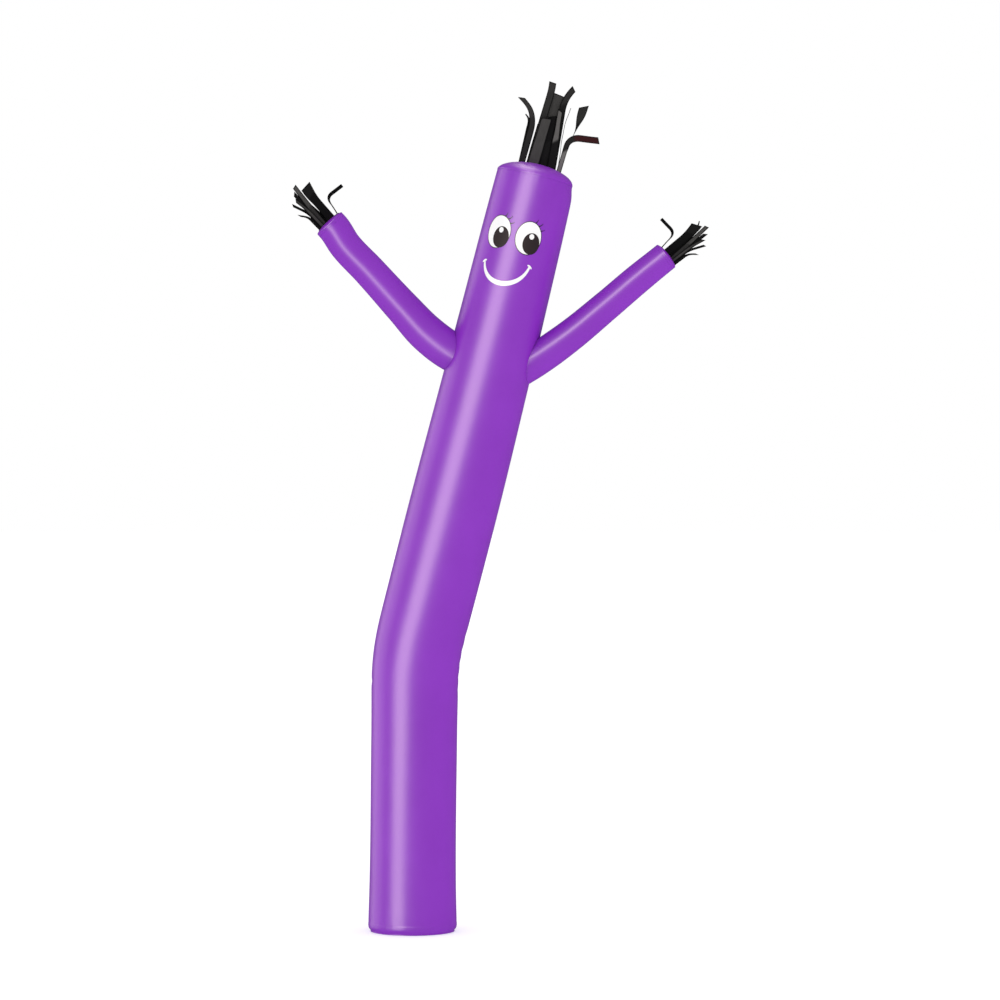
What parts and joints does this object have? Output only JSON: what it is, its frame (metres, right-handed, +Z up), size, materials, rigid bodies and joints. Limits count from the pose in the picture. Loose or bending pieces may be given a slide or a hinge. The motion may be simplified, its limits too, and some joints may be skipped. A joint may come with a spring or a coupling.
{
  "type": "inflatable air dancer",
  "caption": "Tall inflated cloth tube that leans sideways above a soft bend, with two raised sleeves, a domed top and strip fringes, open at the foot for a blower outlet.",
  "frame": {"origin": "middle of the open mouth at the foot of the tube, in the plane of its lower edge", "axes": "+Z up, -Y to the front where the face is printed, +X to the side that the tube leans to"},
  "size_m": [1.4562, 0.312, 2.978],
  "materials": {
    "tube_cloth": "smooth coated ripstop nylon, purple, satin sheen",
    "strip_cloth": "thin black coated cloth, soft sheen"
  },
  "bodies": {
    "root": {"body_tube": "tube_cloth", "head_panel": "tube_cloth", "sleeve_left": "tube_cloth", "sleeve_right": "tube_cloth", "wrist_panel_left": "tube_cloth", "wrist_panel_right": "tube_cloth", "hair_fringe": "strip_cloth", "hand_fringe_left": "strip_cloth", "hand_fringe_right": "strip_cloth"}
  },
  "joints": []
}
